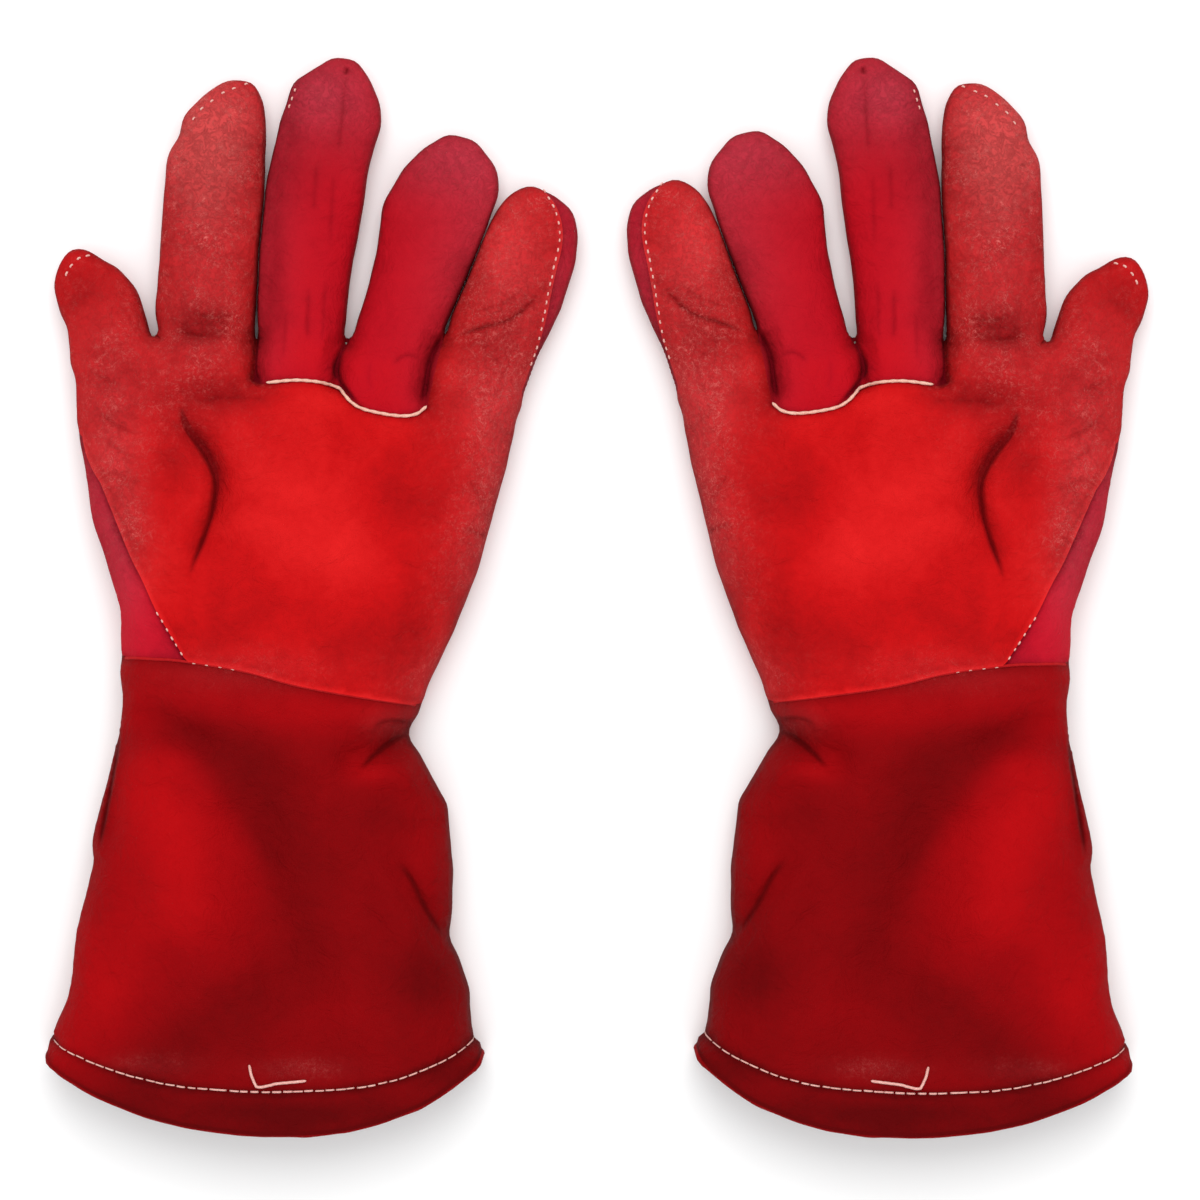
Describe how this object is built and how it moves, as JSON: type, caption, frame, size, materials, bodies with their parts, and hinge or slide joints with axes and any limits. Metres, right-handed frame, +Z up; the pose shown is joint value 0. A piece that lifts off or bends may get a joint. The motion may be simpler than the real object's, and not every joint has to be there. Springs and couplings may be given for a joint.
{
  "type": "pair of leather welding gauntlets",
  "caption": "Left and right leather welding gauntlets with set-in fingers, wing thumbs, flared cuffs and pale stitching, lying palm side up.",
  "frame": {"origin": "on the surface the pair lies on, under the middle of its outline", "axes": "+Z up out of the palms, +Y from the cuffs to the fingertips, +X from the left-hand glove to the right-hand glove"},
  "size_m": [0.3564, 0.35, 0.0343],
  "materials": {
    "palm_hide": "suede, bright red, short nap",
    "napped_hide": "suede, red, rough nap with pale fibres",
    "smooth_hide": "split leather, deep red, smooth",
    "back_hide": "split leather, crimson",
    "cuff_hide": "split leather, dark red, smooth",
    "welt_hide": "split leather strip, dark red",
    "pale_piping": "twisted cotton cord, cream",
    "sewing_thread": "waxed thread, cream",
    "cotton_lining": "fleece cotton, off-white",
    "canvas_lining": "woven cotton, blue"
  },
  "bodies": {
    "left_hand": {"left_palm_panel": "palm_hide", "left_back_panel": "back_hide", "left_hand_lining": "cotton_lining", "left_finger_base_piping": "pale_piping", "left_wrist_welt": "welt_hide"},
    "left_index": {"left_index_front": "napped_hide", "left_index_back": "back_hide", "left_index_lining": "cotton_lining"},
    "left_middle": {"left_middle_front": "smooth_hide", "left_middle_back": "back_hide", "left_middle_lining": "cotton_lining"},
    "left_ring": {"left_ring_front": "smooth_hide", "left_ring_back": "back_hide", "left_ring_lining": "cotton_lining"},
    "left_little": {"left_little_front": "napped_hide", "left_little_back": "back_hide", "left_little_lining": "cotton_lining"},
    "left_thumb": {"left_thumb_front": "napped_hide", "left_thumb_back": "back_hide", "left_thumb_lining": "cotton_lining"},
    "left_cuff": {"left_cuff_front": "cuff_hide", "left_cuff_back": "cuff_hide", "left_cuff_lining": "canvas_lining", "left_hem": "cuff_hide", "left_hem_thread": "sewing_thread"},
    "right_hand": {"right_palm_panel": "palm_hide", "right_back_panel": "back_hide", "right_hand_lining": "cotton_lining", "right_finger_base_piping": "pale_piping", "right_wrist_welt": "welt_hide"},
    "right_index": {"right_index_front": "napped_hide", "right_index_back": "back_hide", "right_index_lining": "cotton_lining"},
    "right_middle": {"right_middle_front": "smooth_hide", "right_middle_back": "back_hide", "right_middle_lining": "cotton_lining"},
    "right_ring": {"right_ring_front": "smooth_hide", "right_ring_back": "back_hide", "right_ring_lining": "cotton_lining"},
    "right_little": {"right_little_front": "napped_hide", "right_little_back": "back_hide", "right_little_lining": "cotton_lining"},
    "right_thumb": {"right_thumb_front": "napped_hide", "right_thumb_back": "back_hide", "right_thumb_lining": "cotton_lining"},
    "right_cuff": {"right_cuff_front": "cuff_hide", "right_cuff_back": "cuff_hide", "right_cuff_lining": "canvas_lining", "right_hem": "cuff_hide", "right_hem_thread": "sewing_thread"}
  },
  "joints": [
    {"name": "left_index_fold", "type": "hinge", "parent": "left_hand", "child": "left_index", "pos_m": [-0.1269, 0.0765, 0.019], "axis": [0.999, -0.0436, 0], "range_deg": [0, 70]},
    {"name": "left_middle_fold", "type": "hinge", "parent": "left_hand", "child": "left_middle", "pos_m": [-0.0965, 0.0697, 0.019], "axis": [0.9962, -0.0872, 0], "range_deg": [0, 70]},
    {"name": "left_ring_fold", "type": "hinge", "parent": "left_hand", "child": "left_ring", "pos_m": [-0.069, 0.0623, 0.019], "axis": [0.9659, -0.2588, 0], "range_deg": [0, 70]},
    {"name": "left_little_fold", "type": "hinge", "parent": "left_hand", "child": "left_little", "pos_m": [-0.0406, 0.0574, 0.019], "axis": [0.9483, -0.3173, 0], "range_deg": [0, 70]},
    {"name": "left_thumb_fold", "type": "hinge", "parent": "left_hand", "child": "left_thumb", "pos_m": [-0.1435, 0.0309, 0.019], "axis": [0.9632, 0.2689, 0], "range_deg": [0, 60]},
    {"name": "left_wrist_fold", "type": "hinge", "parent": "left_hand", "child": "left_cuff", "pos_m": [-0.106, -0.02755, 0.025], "axis": [-0.9889, 0.1484, 0], "range_deg": [0, 45]},
    {"name": "right_index_fold", "type": "hinge", "parent": "right_hand", "child": "right_index", "pos_m": [0.1286, 0.07526, 0.019], "axis": [0.9999, 0.0113, 0], "range_deg": [0, 70]},
    {"name": "right_middle_fold", "type": "hinge", "parent": "right_hand", "child": "right_middle", "pos_m": [0.098, 0.06944, 0.019], "axis": [0.9985, 0.055, 0], "range_deg": [0, 70]},
    {"name": "right_ring_fold", "type": "hinge", "parent": "right_hand", "child": "right_ring", "pos_m": [0.07028, 0.06294, 0.019], "axis": [0.9738, 0.2275, 0], "range_deg": [0, 70]},
    {"name": "right_little_fold", "type": "hinge", "parent": "right_hand", "child": "right_little", "pos_m": [0.04173, 0.05895, 0.019], "axis": [0.9581, 0.2865, 0], "range_deg": [0, 70]},
    {"name": "right_thumb_fold", "type": "hinge", "parent": "right_hand", "child": "right_thumb", "pos_m": [0.14372, 0.02915, 0.019], "axis": [0.954, -0.2999, 0], "range_deg": [0, 60]},
    {"name": "right_wrist_fold", "type": "hinge", "parent": "right_hand", "child": "right_cuff", "pos_m": [0.10436, -0.02806, 0.025], "axis": [-0.9932, -0.1164, 0], "range_deg": [0, 45]},
    {"name": "right_glove_apart", "type": "slide", "parent": "left_hand", "child": "right_hand", "axis": [1, 0, 0], "range_m": [0, 0.15]}
  ]
}
